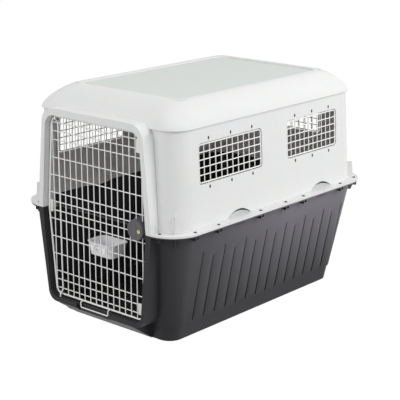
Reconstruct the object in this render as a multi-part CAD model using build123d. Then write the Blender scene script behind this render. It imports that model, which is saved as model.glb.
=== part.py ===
"""A large two-shell plastic dog carrier with a wire door, a turning lock and a cup.

Millimetres. X is to the right as seen from the door, Y runs from the door to the
back, Z is up. The origin is under the middle of the carrier, on the floor.
"""
import math
import os

from build123d import *

os.makedirs("parts", exist_ok=True)

# Overall shape
LENGTH = 1010.0
WIDTH = 700.0
HEIGHT = 756.0
WALL = 4.0
PARTING_Z = 368.5

# Bottom shell: base, step above the base band, rim
BASE_HALF = (250.0, 420.0)
BAND_TOP_HALF = (259.0, 429.0)
STEP_Z = 50.0
STEP_OUT = 4.0
RIM_HALF = (326.0, 478.0)
BASE_RADIUS = 45.0
RIM_RADIUS = 80.0

# Top shell: foot of the wall, eave, roof
FOOT_HALF = (320.0, 470.0)
EAVE_HALF = (305.0, 455.0)
EAVE_Z = 684.0
EAVE_OUT = 8.0
FOOT_RADIUS = 80.0
EAVE_RADIUS = 74.0
ROOF_RADIUS = 56.0
ROOF_HALF_X = 234.0
ROOF_FRONT_Y = -359.0
ROOF_BACK_Y = 381.0
ROOF_RIM = 15.0
ROOF_RECESS = 5.0
SHOULDER_STEPS = 4
SHOULDER_POWER = 1.45

# Flanges, corner webs and fasteners
FLANGE_RADIUS = 100.0
TOP_FLANGE = 6.0
BOTTOM_FLANGE = 5.0
FLANGE_SETBACK = 2.0
WEB_THICK = 4.0
WEB_DEPTH = 20.0
WEB_TALL = 60.0
LOWER_WEB_TALL = 40.0
BOLT_INSET = 14.0
BOLT_Y = (-401.0, -293.0, -87.0, 43.0, 139.0, 350.0)
CORNER_BOLT_ANGLE = 31.0
FRONT_BOLT_X = 268.0
REAR_BOLT_X = 150.0
BOLT_DIAMETER = 6.0
BOLT_HOLE = 6.5
BOLT_LENGTH = 22.0
HEAD_DIAMETER = 10.5
HEAD_TALL = 3.0
NUT_SIDE = 11.0
NUT_TALL = 5.0
NUT_BORE = 6.2

# Flutes and hand grips of the side walls
FLUTE_COUNT = 15
FLUTE_FIRST_Y = -336.0
FLUTE_PITCH = 52.3
FLUTE_WIDTH = 7.0
FLUTE_DEPTH = 2.8
FLUTE_BOTTOM_Z = 58.0
FLUTE_TOP_Z = (296.0, 272.0)
GRIP_Y = (-174.0, 258.0)
GRIP_RADIUS = 105.0
GRIP_DEPTH = 19.0
GRIP_TALL = 24.0
LOWER_GRIP_DEPTH = 13.0
LOWER_GRIP_TALL = 30.0

# Windows and their grilles
WINDOW_Z = 571.0
WINDOW_HALF_Z = 63.0
WINDOW_RADIUS = 13.0
FRONT_WINDOW = (-205.0, 152.0)
REAR_WINDOW = (213.0, 137.0)
BACK_WINDOW_HALF = 164.0
CLIP_HOLE = (7.0, 11.0)
CLIP_OFFSET = 12.0
CLIP_SPREAD = 0.68
GRILLE_INSET = 4.5
GRILLE_FRAME_WIRE = 4.5
GRILLE_WIRE = 3.5
GRILLE_COLUMNS = 11
GRILLE_ROWS = 5

# Doorway: raised bezel, opening and sill
BEZEL_FACE_Y = -505.0
DOOR_Y = -483.0
DOOR_MIDDLE_Z = 367.0
DOOR_BOTTOM_Z = 80.0
DOOR_TOP_Z = 672.0
DOOR_HALF = (196.0, 222.0, 197.0)
DOOR_RADII = (24.0, 60.0, 32.0)
OPENING_GAP = 7.0
COLLAR = 3.5
COLLAR_DEPTH = 50.0
BEZEL_BOTTOM_Z = 58.0
BEZEL_TOP_Z = 701.0
BEZEL_HALF = (210.0, 251.0, 216.0)
BEZEL_RADII = (36.0, 60.0, 50.0)
BEZEL_BACK_Y = -415.0
CHIN_HALF = 172.0
CHIN_FOOT_Y = -424.0
NOTCH_X = (-84.0, 64.0)
NOTCH_DEPTH = 15.0

# Door wires
FRAME_WIRE = 6.0
DOOR_WIRE = 3.5
UPRIGHT_PITCH = 26.1
UPRIGHT_COUNT = 16
CROSS_MIDDLE_Z = 374.5
CROSS_OFFSETS = (14.5, 44.0, 103.0, 161.0, 219.5, 248.0, 276.5)
WELD = 0.3
HINGE_WIRE = 5.0
HINGE_INDEX = 1
HINGE_CLEARANCE = 0.1
HINGE_AXIS_Y = -495.0
HINGE_BEND = 5.0
HINGE_PIN_Z = (68.0, 684.0)
HINGE_HOLE_Z = (66.0, 686.0)
HINGE_CRANK_LOW = (84.0, 94.0)
HINGE_CRANK_HIGH = (656.0, 666.0)
LOOP_X = (-2.75 * UPRIGHT_PITCH, 2 * UPRIGHT_PITCH)
LOOP_BAR_Z = 62.0
LOOP_WIRE = 4.0
LOOP_REACH = 14.0

# Lock
LOCK_X = 7 * UPRIGHT_PITCH
LOCK_Z = CROSS_MIDDLE_Z
KNOB_DIAMETER = 66.0
KNOB_FACE_Y = -504.0
KNOB_BACK_Y = -489.3
SHAFT_DIAMETER = 14.0
SHAFT_CLEARANCE = 0.1
CASE_HALF = 31.0
CASE_FRONT_Y = -477.4
CASE_BACK_Y = -457.4
CASE_WALL = 2.5
BOSS_DIAMETER = 19.0
PLATE_DIAMETER = 60.0
CYLINDER_DIAMETER = 12.0
CYLINDER_SHIFT = (16.0, -2.0)
CAM_DIAMETER = 25.0
ROD_DIAMETER = 6.0
ROD_Y = -469.0
ROD_HOLE = 6.6
GUIDE_BORE = 6.2
GUIDE_DIAMETER = 11.0
UPPER_ROD_TOP_Z = 663.0
LOWER_ROD_FOOT_Z = 85.0
SIDE_ROD_END_X = -222.0
SIDE_GUIDE_X = (-215.0, -204.0)

# Feeding cup
CUP_HALF = (60.0, 42.0)
CUP_MIDDLE_X = -6.0
CUP_FRONT_Y = -477.0
CUP_RIM_Z = 285.0
CUP_BOTTOM_Z = 240.0
CUP_WALL = 2.2
CUP_LIP = 4.0
HOOK_WIDTH = 14.0

CROSS_Y = DOOR_Y + DOOR_WIRE - WELD
FIRST_WIRE_X = -UPRIGHT_PITCH * (UPRIGHT_COUNT - 1) / 2
HINGE_X = FIRST_WIRE_X + HINGE_INDEX * UPRIGHT_PITCH


def block(x_low, x_high, y_low, y_high, z_low, z_high):
    """A box between six planes."""
    size = (x_high - x_low, y_high - y_low, z_high - z_low)
    middle = ((x_low + x_high) / 2, (y_low + y_high) / 2, (z_low + z_high) / 2)
    return Pos(*middle) * Box(*size)


def rod(start, end, diameter):
    """A round bar from one point to another."""
    first = Vector(*start)
    along = Vector(*end) - first
    return extrude(Plane(origin=first, z_dir=along) * Circle(diameter / 2), amount=along.length)


def level(half, radius, z, shift_y=0.0):
    """A rounded rectangle lying level at a height."""
    return (Plane((0, shift_y, z)) * RectangleRounded(2 * half[0], 2 * half[1], radius)).face()


def grown(half, amount):
    """Half sizes made larger, or smaller where the amount is negative."""
    return (half[0] + amount, half[1] + amount)


def fuse(pieces):
    """One shape from several that touch or cross."""
    pieces = list(pieces)
    whole = pieces[0]
    for piece in pieces[1:]:
        whole = whole + piece
    return whole


def both_sides(shape):
    """A shape of the right side together with its mirror image."""
    return [shape, mirror(shape, about=Plane.YZ)]


def save(name, shape):
    """Write one node."""
    solids = shape if isinstance(shape, list) else [shape]
    whole = solids[0] if len(solids) == 1 else Compound(children=[s.solid() for s in solids])
    whole.label = name
    export_step(whole, f"parts/{name}.step")
    box = whole.bounding_box()
    print(name, len(whole.solids()), tuple(box.min), tuple(box.max))


# Walls of the two shells

def lower_body(inset, floor_z, ledge_up):
    """The tapering tub, as a solid, its walls set in by an amount."""
    band = loft([
        level(grown(BASE_HALF, -inset), BASE_RADIUS - inset, floor_z),
        level(grown(BAND_TOP_HALF, -inset), BASE_RADIUS + 5 - inset, STEP_Z + ledge_up),
    ], ruled=True)
    tub = loft([
        level(grown(BAND_TOP_HALF, STEP_OUT - inset), BASE_RADIUS + 9 - inset, STEP_Z + ledge_up),
        level(grown(RIM_HALF, -inset), RIM_RADIUS - inset, PARTING_Z),
    ], ruled=True)
    return band + tub


def shoulder_level(share, inset, z_low, z_high):
    """One level of the roof's sloping shoulder; share is 0 at the eave and 1 at the roof."""
    out = (1 - share ** SHOULDER_POWER) ** (1 / SHOULDER_POWER)
    eave = grown(EAVE_HALF, EAVE_OUT)
    half_x = ROOF_HALF_X + (eave[0] - ROOF_HALF_X) * out
    front = ROOF_FRONT_Y - (eave[1] + ROOF_FRONT_Y) * out
    back = ROOF_BACK_Y + (eave[1] - ROOF_BACK_Y) * out
    radius = ROOF_RADIUS + (EAVE_RADIUS - ROOF_RADIUS) * out
    half = grown((half_x, (back - front) / 2), -inset)
    return level(half, radius - inset, z_low + (z_high - z_low) * share, (front + back) / 2)


def upper_body(inset, eave_z, roof_z):
    """The upper walls and the roof, as a solid, set in by an amount."""
    walls = loft([
        level(grown(FOOT_HALF, -inset), FOOT_RADIUS - inset, PARTING_Z),
        level(grown(EAVE_HALF, -inset), EAVE_RADIUS - EAVE_OUT - inset, eave_z),
    ], ruled=True)
    shares = [step / SHOULDER_STEPS for step in range(SHOULDER_STEPS + 1)]
    shoulder = loft([shoulder_level(share, inset, eave_z, roof_z) for share in shares])
    return walls + shoulder


def flange(half_reduction, z_low, thick):
    """A full flange plate."""
    half = (WIDTH / 2 - half_reduction, LENGTH / 2 - half_reduction)
    return extrude(level(half, FLANGE_RADIUS - half_reduction, z_low), amount=thick)


def hexagon(halves, z_low, z_high, radii):
    """The doorway's six-sided outline with rounded corners, drawn in X and Z."""
    low, middle, high = halves
    corners = [(-low, z_low), (low, z_low), (middle, DOOR_MIDDLE_Z)]
    corners += [(high, z_high), (-high, z_high), (-middle, DOOR_MIDDLE_Z)]
    shape = make_face(Polyline(*corners, close=True))
    for height, radius in zip((z_low, DOOR_MIDDLE_Z, z_high), radii):
        points = [v for v in shape.vertices() if abs(v.Y - height) < 0.01]
        shape = fillet(points, radius)
    return shape


def prism(outline, y_front, y_back):
    """An outline of X and Z carried from front to back."""
    return extrude(Plane.XZ.offset(-y_front) * outline, amount=y_front - y_back)


door_outline = hexagon(DOOR_HALF, DOOR_BOTTOM_Z, DOOR_TOP_Z, DOOR_RADII)
opening_outline = offset(door_outline, OPENING_GAP)
collar_outline = offset(door_outline, OPENING_GAP + COLLAR)
bezel_outline = hexagon(BEZEL_HALF, BEZEL_BOTTOM_Z, BEZEL_TOP_Z, BEZEL_RADII)
bezel_inner = offset(bezel_outline, -COLLAR)

bezel = prism(bezel_outline, BEZEL_FACE_Y, BEZEL_BACK_Y)
bezel_void = prism(bezel_inner, BEZEL_FACE_Y + COLLAR, BEZEL_BACK_Y)
doorway = prism(opening_outline, BEZEL_FACE_Y - 20, BEZEL_BACK_Y)
collar = prism(collar_outline, BEZEL_FACE_Y, BEZEL_FACE_Y + COLLAR_DEPTH)
upper_space = block(-500, 500, -600, 600, PARTING_Z, 900)
lower_space = block(-500, 500, -600, 600, -50, PARTING_Z)


def chin(inset):
    """The wedge under the sill, sloping back to the base."""
    points = [
        (BEZEL_FACE_Y + inset, BEZEL_BOTTOM_Z + 8),
        (BEZEL_FACE_Y + inset, BEZEL_BOTTOM_Z + inset),
        (CHIN_FOOT_Y + inset, inset),
        (-395.0, inset),
        (-395.0, BEZEL_BOTTOM_Z + 8),
    ]
    side = make_face(Polyline(*points, close=True))
    half = CHIN_HALF - inset
    return extrude(Plane.YZ.offset(-half) * side, amount=2 * half)


# Fastener places: x, y and the direction that faces outward

def bolt_places():
    """Each bolt's x, y and outward angle, for the whole flange."""
    right = [(WIDTH / 2 - BOLT_INSET, y, 0.0) for y in BOLT_Y]
    centre = (WIDTH / 2 - FLANGE_RADIUS, LENGTH / 2 - FLANGE_RADIUS)
    reach = FLANGE_RADIUS - BOLT_INSET
    turn = math.radians(CORNER_BOLT_ANGLE)
    corner_x = centre[0] + reach * math.cos(turn)
    corner_y = centre[1] + reach * math.sin(turn)
    right.append((corner_x, corner_y, CORNER_BOLT_ANGLE))
    right.append((FRONT_BOLT_X, -LENGTH / 2 + BOLT_INSET + 6, -90.0))
    right.append((REAR_BOLT_X, LENGTH / 2 - BOLT_INSET, 90.0))
    left = [(-x, y, 180.0 - angle) for x, y, angle in right]
    return right + left


places = bolt_places()
NUT_TOP_Z = PARTING_Z - BOTTOM_FLANGE - 1.0


def placed(shape, place):
    """A shape drawn at the origin, carried to a bolt's place."""
    x, y, angle = place
    return Pos(x, y, 0) * Rot(0, 0, angle) * shape


nut_boss = block(-14, 9, -9, 9, NUT_TOP_Z - 12, PARTING_Z - 1)
nut_pocket = block(-6, 12, -6, 6, NUT_TOP_Z - 8, NUT_TOP_Z)
bolt_hole = rod((0, 0, 330), (0, 0, 390), BOLT_HOLE)

bolt = rod((0, 0, PARTING_Z + TOP_FLANGE - BOLT_LENGTH), (0, 0, PARTING_Z + TOP_FLANGE + 1), BOLT_DIAMETER)
head = rod((0, 0, PARTING_Z + TOP_FLANGE), (0, 0, PARTING_Z + TOP_FLANGE + HEAD_TALL), HEAD_DIAMETER)
head = fillet(head.edges().sort_by(Axis.Z)[-1], 1.6)
head_z = PARTING_Z + TOP_FLANGE + HEAD_TALL
bolt = bolt + head
bolt = bolt - block(-3.2, 3.2, -0.7, 0.7, head_z - 1.4, head_z + 1)
bolt = bolt - block(-0.7, 0.7, -3.2, 3.2, head_z - 1.4, head_z + 1)
nut = block(-NUT_SIDE / 2, NUT_SIDE / 2, -NUT_SIDE / 2, NUT_SIDE / 2, NUT_TOP_Z - NUT_TALL, NUT_TOP_Z)
nut = nut - rod((0, 0, 330), (0, 0, 390), NUT_BORE)


def corner_web(half, radius, z_low, z_high, taper):
    """Four upright webs standing on the corners between wall and flange."""
    reach = radius * math.sqrt(0.5)
    webs = []
    for side_x in (1, -1):
        for side_y in (1, -1):
            x = side_x * (half[0] - radius + reach)
            y = side_y * (half[1] - radius + reach)
            angle = math.degrees(math.atan2(side_y, side_x))
            outline = [(-8, z_low), (WEB_DEPTH, z_low), (WEB_DEPTH - taper[0], z_high)]
            outline += [(-8 - taper[1], z_high)]
            face = make_face(Polyline(*outline, close=True))
            plate = extrude(Plane.XZ.offset(-WEB_THICK / 2) * face, amount=WEB_THICK)
            webs.append(Pos(x, y, 0) * Rot(0, 0, angle) * plate)
    return webs


def grip(y, face_x, depth, tall, grow, plate):
    """A round-backed scoop above a flange at height 0, with a plate below where it is grown."""
    axis_x = face_x - depth + GRIP_RADIUS
    align = (Align.CENTER, Align.CENTER, Align.MIN)
    scoop = Cone(GRIP_RADIUS + grow, GRIP_RADIUS - depth + grow, tall + grow, align=align)
    if grow > 0:
        scoop = scoop + Pos(0, 0, -plate) * Cylinder(GRIP_RADIUS + grow, plate, align=align)
    return Pos(axis_x, y, 0) * scoop


def lower_wall_x(z):
    """Outer face of the lower side wall at a height."""
    low = BAND_TOP_HALF[0] + STEP_OUT
    return low + (RIM_HALF[0] - low) * (z - STEP_Z) / (PARTING_Z - STEP_Z)


def flute(index):
    """One upright groove of the right wall, following its slope."""
    y = FLUTE_FIRST_Y + FLUTE_PITCH * index
    top = FLUTE_TOP_Z[index % 2]
    x_low, x_high = lower_wall_x(FLUTE_BOTTOM_Z), lower_wall_x(top)
    points = [
        (x_low - FLUTE_DEPTH, FLUTE_BOTTOM_Z), (x_high - FLUTE_DEPTH, top - 6),
        (x_high + 6, top + 6), (x_low + 20, FLUTE_BOTTOM_Z - 6), (x_low, FLUTE_BOTTOM_Z - 6),
    ]
    side = make_face(Polyline(*points, close=True))
    return extrude(Plane.XZ.offset(-y - FLUTE_WIDTH / 2) * side, amount=FLUTE_WIDTH)


# Window planes: the middle of each window on the outer face of its wall

WALL_SLOPE = (FOOT_HALF[0] - EAVE_HALF[0]) / (EAVE_Z - PARTING_Z)
SINK = WALL_SLOPE * (WINDOW_Z - PARTING_Z)


def side_plane(y):
    """A plane on the right wall: x is backward, y is up the wall, z is outward."""
    return Plane(origin=(FOOT_HALF[0] - SINK, y, WINDOW_Z), x_dir=(0, 1, 0), z_dir=(1, 0, WALL_SLOPE))


back_plane = Plane(origin=(0, FOOT_HALF[1] - SINK, WINDOW_Z), x_dir=(-1, 0, 0), z_dir=(0, 1, WALL_SLOPE))


def clip_places(half_length):
    """Where the grille's clips pass through the wall, along and up the window."""
    rows = (WINDOW_HALF_Z + CLIP_OFFSET, -WINDOW_HALF_Z - CLIP_OFFSET)
    columns = (-half_length * CLIP_SPREAD, 0.0, half_length * CLIP_SPREAD)
    return [(along, up) for up in rows for along in columns]


def window_cuts(plane, half_length):
    """The window opening and its six clip holes, each as one cutting solid."""
    outlines = [RectangleRounded(2 * half_length, 2 * WINDOW_HALF_Z, WINDOW_RADIUS)]
    for along, up in clip_places(half_length):
        outlines.append(Pos(along, up) * Ellipse(CLIP_HOLE[0] / 2, CLIP_HOLE[1] / 2))
    return [extrude(plane.offset(-15) * outline, amount=30) for outline in outlines]


def grille(plane, half_length):
    """A welded wire grille held behind one window by bent clips."""
    frame_depth = -WALL + 0.8
    wire_depth = -WALL - 0.3 - GRILLE_WIRE / 2
    half_u = half_length - GRILLE_INSET
    half_v = WINDOW_HALF_Z - GRILLE_INSET
    outline = Plane.XY.offset(frame_depth) * RectangleRounded(2 * half_u, 2 * half_v, 9.0)
    path = outline.face().outer_wire()
    ring = Plane(origin=path @ 0, z_dir=path % 0) * Circle(GRILLE_FRAME_WIRE / 2)
    pieces = [sweep(ring, path=path)]
    for column in range(1, GRILLE_COLUMNS):
        u = -half_u + 2 * half_u * column / GRILLE_COLUMNS
        pieces.append(rod((u, -half_v, wire_depth), (u, half_v, wire_depth), GRILLE_WIRE))
    for row in range(1, GRILLE_ROWS):
        v = -half_v + 2 * half_v * row / GRILLE_ROWS
        pieces.append(rod((-half_u, v, frame_depth), (half_u, v, frame_depth), GRILLE_WIRE))
    for along, up in clip_places(half_length):
        side = math.copysign(1, up)
        tail = FilletPolyline(
            (along, side * (half_v - 1), wire_depth),
            (along, up, wire_depth),
            (along, up, -0.3),
            radius=2.5,
        )
        start = Plane(origin=tail @ 0, z_dir=tail % 0) * Circle(GRILLE_WIRE / 2)
        pieces.append(sweep(start, path=tail))
    return plane * fuse(pieces)


# Bottom shell

solid = lower_body(0.0, 0.0, 0.0)
solid = solid + flange(FLANGE_SETBACK, PARTING_Z - BOTTOM_FLANGE, BOTTOM_FLANGE)
solid = solid + (bezel & lower_space) + chin(0.0)
solid = fuse([solid] + corner_web(RIM_HALF, RIM_RADIUS, PARTING_Z - 3, PARTING_Z - LOWER_WEB_TALL, (16, 9)))
flange_space = flange(FLANGE_SETBACK, 0, PARTING_Z)
for place in places:
    solid = solid + (placed(nut_boss, place) & flange_space)

cavity = lower_body(WALL, WALL, WALL)
grip_face = lower_wall_x(PARTING_Z - BOTTOM_FLANGE)
grip_top = PARTING_Z - BOTTOM_FLANGE
for grip_y in GRIP_Y:
    sizes = (-grip_y, grip_face, LOWER_GRIP_DEPTH, LOWER_GRIP_TALL)
    under = Pos(0, 0, grip_top) * Rot(180, 0, 0)
    for scoop in both_sides(under * grip(*sizes, 0.0, BOTTOM_FLANGE)):
        solid = solid - scoop
    for scoop in both_sides(under * grip(*sizes, WALL, BOTTOM_FLANGE)):
        cavity = cavity - scoop

sill_block = block(
    NOTCH_X[0] - COLLAR, NOTCH_X[1] + COLLAR,
    BEZEL_FACE_Y, BEZEL_FACE_Y + NOTCH_DEPTH + COLLAR, 20, DOOR_BOTTOM_Z,
)
notch = block(*NOTCH_X, BEZEL_FACE_Y - 5, BEZEL_FACE_Y + NOTCH_DEPTH, 20, DOOR_BOTTOM_Z)
post_void = (bezel_void & lower_space) + chin(COLLAR)
bottom_shell = solid - (cavity + (post_void - sill_block))
bottom_shell = bottom_shell + (collar & lower_space)
bottom_shell = bottom_shell - doorway - notch
for index in range(FLUTE_COUNT):
    for groove in both_sides(flute(index)):
        bottom_shell = bottom_shell - groove
for place in places:
    bottom_shell = bottom_shell - placed(bolt_hole, place) - placed(nut_pocket, place)
hinge_bore = HINGE_WIRE + 2 * HINGE_CLEARANCE
low_hinge_hole = rod((HINGE_X, HINGE_AXIS_Y, HINGE_HOLE_Z[0]), (HINGE_X, HINGE_AXIS_Y, 100), hinge_bore)
bottom_shell = bottom_shell - low_hinge_hole
bottom_shell = bottom_shell - rod((LOCK_X, ROD_Y, 66), (LOCK_X, ROD_Y, 110), ROD_HOLE)
save("bottom_shell", bottom_shell)

# Top shell

solid = upper_body(0.0, EAVE_Z, HEIGHT)
panel_half = (ROOF_HALF_X - ROOF_RIM, (ROOF_BACK_Y - ROOF_FRONT_Y) / 2 - ROOF_RIM)
panel_middle = (ROOF_BACK_Y + ROOF_FRONT_Y) / 2
panel = extrude(level(panel_half, 42.0, HEIGHT - ROOF_RECESS, panel_middle), amount=20)
solid = solid + flange(0.0, PARTING_Z, TOP_FLANGE) + (bezel & upper_space)
solid = fuse([solid] + corner_web(FOOT_HALF, FOOT_RADIUS, PARTING_Z + 3, PARTING_Z + WEB_TALL, (4, 2)))
cavity = upper_body(WALL, EAVE_Z + WALL, HEIGHT - ROOF_RECESS - WALL)
grip_low = PARTING_Z + TOP_FLANGE
for grip_y in GRIP_Y:
    sizes = (grip_y, FOOT_HALF[0], GRIP_DEPTH, GRIP_TALL)
    over = Pos(0, 0, grip_low)
    for scoop in both_sides(over * grip(*sizes, 0.0, TOP_FLANGE)):
        solid = solid - scoop
    for scoop in both_sides(over * grip(*sizes, WALL, TOP_FLANGE)):
        cavity = cavity - scoop
top_shell = solid - panel - cavity - (bezel_void & upper_space)
top_shell = top_shell + (collar & upper_space)
top_shell = top_shell - doorway
for centre_y, half_length in (FRONT_WINDOW, REAR_WINDOW):
    for right_cut in window_cuts(side_plane(centre_y), half_length):
        for cut in both_sides(right_cut):
            top_shell = top_shell - cut
for cut in window_cuts(back_plane, BACK_WINDOW_HALF):
    top_shell = top_shell - cut
for place in places:
    top_shell = top_shell - placed(bolt_hole, place)
high_hinge_hole = rod((HINGE_X, HINGE_AXIS_Y, 650), (HINGE_X, HINGE_AXIS_Y, HINGE_HOLE_Z[1]), hinge_bore)
top_shell = top_shell - high_hinge_hole
top_shell = top_shell - rod((LOCK_X, ROD_Y, 650), (LOCK_X, ROD_Y, 684), ROD_HOLE)
top_shell = top_shell - rod((-245, ROD_Y, LOCK_Z), (-200, ROD_Y, LOCK_Z), ROD_HOLE)
save("top_shell", top_shell)

# Fasteners
save("flange_bolts", [placed(bolt, place) for place in places])
save("flange_nuts", [placed(nut, place) for place in places])

# Window grilles
for name, (centre_y, half_length) in (("front", FRONT_WINDOW), ("rear", REAR_WINDOW)):
    right, left = both_sides(grille(side_plane(centre_y), half_length))
    save(f"grille_right_{name}", right)
    save(f"grille_left_{name}", left)
save("grille_back", grille(back_plane, BACK_WINDOW_HALF))

# Door wires
frame_path = (Plane.XZ.offset(-DOOR_Y) * door_outline).face().outer_wire()
frame_ring = Plane(origin=frame_path @ 0, z_dir=frame_path % 0) * Circle(FRAME_WIRE / 2)
save("door_frame_wire", sweep(frame_ring, path=frame_path))

door_space = prism(door_outline, DOOR_Y - 10, DOOR_Y + 20)
uprights = []
for index in [i for i in range(UPRIGHT_COUNT) if i != HINGE_INDEX]:
    x = FIRST_WIRE_X + UPRIGHT_PITCH * index
    uprights.append(rod((x, DOOR_Y, 60), (x, DOOR_Y, 690), DOOR_WIRE) & door_space)
save("door_upright_wires", uprights)

cross_heights = sorted(CROSS_MIDDLE_Z + side * step for side in (1, -1) for step in CROSS_OFFSETS)
crosses = [rod((-230, CROSS_Y, z), (230, CROSS_Y, z), DOOR_WIRE) & door_space for z in cross_heights]
save("door_cross_wires", crosses)

hinge_path = FilletPolyline(
    (HINGE_X, HINGE_AXIS_Y, HINGE_PIN_Z[0]),
    (HINGE_X, HINGE_AXIS_Y, HINGE_CRANK_LOW[0]),
    (HINGE_X, DOOR_Y, HINGE_CRANK_LOW[1]),
    (HINGE_X, DOOR_Y, HINGE_CRANK_HIGH[0]),
    (HINGE_X, HINGE_AXIS_Y, HINGE_CRANK_HIGH[1]),
    (HINGE_X, HINGE_AXIS_Y, HINGE_PIN_Z[1]),
    radius=HINGE_BEND,
)
hinge_ring = Plane(origin=hinge_path @ 0, z_dir=hinge_path % 0) * Circle(HINGE_WIRE / 2)
save("door_hinge_wire", sweep(hinge_ring, path=hinge_path))

loop_front = DOOR_Y - LOOP_REACH
loop_path = FilletPolyline(
    (LOOP_X[0], DOOR_Y, DOOR_BOTTOM_Z),
    (LOOP_X[0], loop_front, DOOR_BOTTOM_Z),
    (LOOP_X[0], loop_front, LOOP_BAR_Z),
    (LOOP_X[1], loop_front, LOOP_BAR_Z),
    (LOOP_X[1], loop_front, DOOR_BOTTOM_Z),
    (LOOP_X[1], DOOR_Y, DOOR_BOTTOM_Z),
    radius=5.0,
)
loop_ring = Plane(origin=loop_path @ 0, z_dir=loop_path % 0) * Circle(LOOP_WIRE / 2)
save("door_stop_loop", sweep(loop_ring, path=loop_path))

# Lock case behind the wires, with a boss that passes through one cell
case = block(
    LOCK_X - CASE_HALF, LOCK_X + CASE_HALF, CASE_FRONT_Y, CASE_BACK_Y,
    LOCK_Z - CASE_HALF, LOCK_Z + CASE_HALF,
)
case = fillet(case.edges().filter_by(Axis.Y), 12.0)
room_half = CASE_HALF - CASE_WALL
room = block(
    LOCK_X - room_half, LOCK_X + room_half, CASE_FRONT_Y + CASE_WALL, CASE_BACK_Y + 1,
    LOCK_Z - room_half, LOCK_Z + room_half,
)
room = fillet(room.edges().filter_by(Axis.Y), 9.5)
boss_front_y = KNOB_BACK_Y + 0.3
case = case - room + rod((LOCK_X, boss_front_y, LOCK_Z), (LOCK_X, CASE_FRONT_Y + 1, LOCK_Z), BOSS_DIAMETER)
shaft_bore = rod((LOCK_X, -495, LOCK_Z), (LOCK_X, -470, LOCK_Z), SHAFT_DIAMETER + 2 * SHAFT_CLEARANCE)
case = case - shaft_bore
case = case - rod((LOCK_X, ROD_Y, LOCK_Z - 40), (LOCK_X, ROD_Y, LOCK_Z + 40), GUIDE_BORE)
case = case - rod((LOCK_X - 40, ROD_Y, LOCK_Z), (LOCK_X, ROD_Y, LOCK_Z), GUIDE_BORE)
save("lock_case", case)

cover = block(
    LOCK_X - room_half + 0.1, LOCK_X + room_half - 0.1, CASE_BACK_Y - CASE_WALL, CASE_BACK_Y,
    LOCK_Z - room_half + 0.1, LOCK_Z + room_half - 0.1,
)
save("lock_cover", fillet(cover.edges().filter_by(Axis.Y), 9.4))

plate_back_y = DOOR_Y - DOOR_WIRE / 2 - 0.3
plate = rod((LOCK_X, plate_back_y - 3.5, LOCK_Z), (LOCK_X, plate_back_y, LOCK_Z), PLATE_DIAMETER)
plate = plate - rod((LOCK_X, -495, LOCK_Z), (LOCK_X, -480, LOCK_Z), BOSS_DIAMETER + 0.1)
save("lock_front_plate", plate)

# Knob with its shaft, the key cylinder in it and the cam behind
knob = rod((LOCK_X, KNOB_BACK_Y, LOCK_Z), (LOCK_X, KNOB_FACE_Y, LOCK_Z), KNOB_DIAMETER)
knob = fillet(knob.edges().filter_by(GeomType.CIRCLE).sort_by(Axis.Y)[0], 3.0)
knob = knob - rod((LOCK_X, KNOB_FACE_Y + 1.2, LOCK_Z), (LOCK_X, KNOB_FACE_Y - 5, LOCK_Z), KNOB_DIAMETER - 12)
knob = knob + block(LOCK_X - 5, LOCK_X + 5, KNOB_FACE_Y, KNOB_BACK_Y, LOCK_Z - 28, LOCK_Z + 28)
key_x, key_z = LOCK_X + CYLINDER_SHIFT[0], LOCK_Z + CYLINDER_SHIFT[1]
knob = knob + rod((key_x, KNOB_FACE_Y, key_z), (key_x, KNOB_BACK_Y, key_z), CYLINDER_DIAMETER + 6)
key_hole = rod((key_x, KNOB_FACE_Y - 5, key_z), (key_x, KNOB_FACE_Y + 10, key_z), CYLINDER_DIAMETER + 0.2)
knob = knob - key_hole
SHAFT_END_Y = CASE_BACK_Y - CASE_WALL - 0.3
knob = knob + rod((LOCK_X, KNOB_BACK_Y, LOCK_Z), (LOCK_X, SHAFT_END_Y, LOCK_Z), SHAFT_DIAMETER)
save("lock_knob", knob)

barrel = rod((key_x, KNOB_FACE_Y - 0.5, key_z), (key_x, KNOB_FACE_Y + 9.8, key_z), CYLINDER_DIAMETER)
barrel = barrel - block(key_x - 0.8, key_x + 0.8, -510, KNOB_FACE_Y + 5, key_z - 4, key_z + 4)
save("lock_cylinder", barrel)

cam = rod((LOCK_X, ROD_Y - 4, LOCK_Z), (LOCK_X, SHAFT_END_Y, LOCK_Z), CAM_DIAMETER)
save("lock_cam", cam - rod((LOCK_X, -480, LOCK_Z), (LOCK_X, -450, LOCK_Z), SHAFT_DIAMETER + 0.1))

# Lock rods and their guides
rod_start = CAM_DIAMETER / 2 + 0.4
upper_rod = rod((LOCK_X, ROD_Y, LOCK_Z + rod_start), (LOCK_X, ROD_Y, UPPER_ROD_TOP_Z), ROD_DIAMETER)
lower_rod = rod((LOCK_X, ROD_Y, LOCK_Z - rod_start), (LOCK_X, ROD_Y, LOWER_ROD_FOOT_Z), ROD_DIAMETER)
side_rod = rod((LOCK_X - rod_start, ROD_Y, LOCK_Z), (SIDE_ROD_END_X, ROD_Y, LOCK_Z), ROD_DIAMETER)
save("upper_lock_rod", chamfer(upper_rod.edges().filter_by(GeomType.CIRCLE).sort_by(Axis.Z)[-1], 1.2))
save("lower_lock_rod", chamfer(lower_rod.edges().filter_by(GeomType.CIRCLE).sort_by(Axis.Z)[0], 1.2))
save("side_lock_rod", chamfer(side_rod.edges().filter_by(GeomType.CIRCLE).sort_by(Axis.X)[0], 1.2))

clip_front_y = DOOR_Y - DOOR_WIRE / 2 - 0.5
clip_back_y = CROSS_Y - DOOR_WIRE / 2 - 0.3


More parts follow.
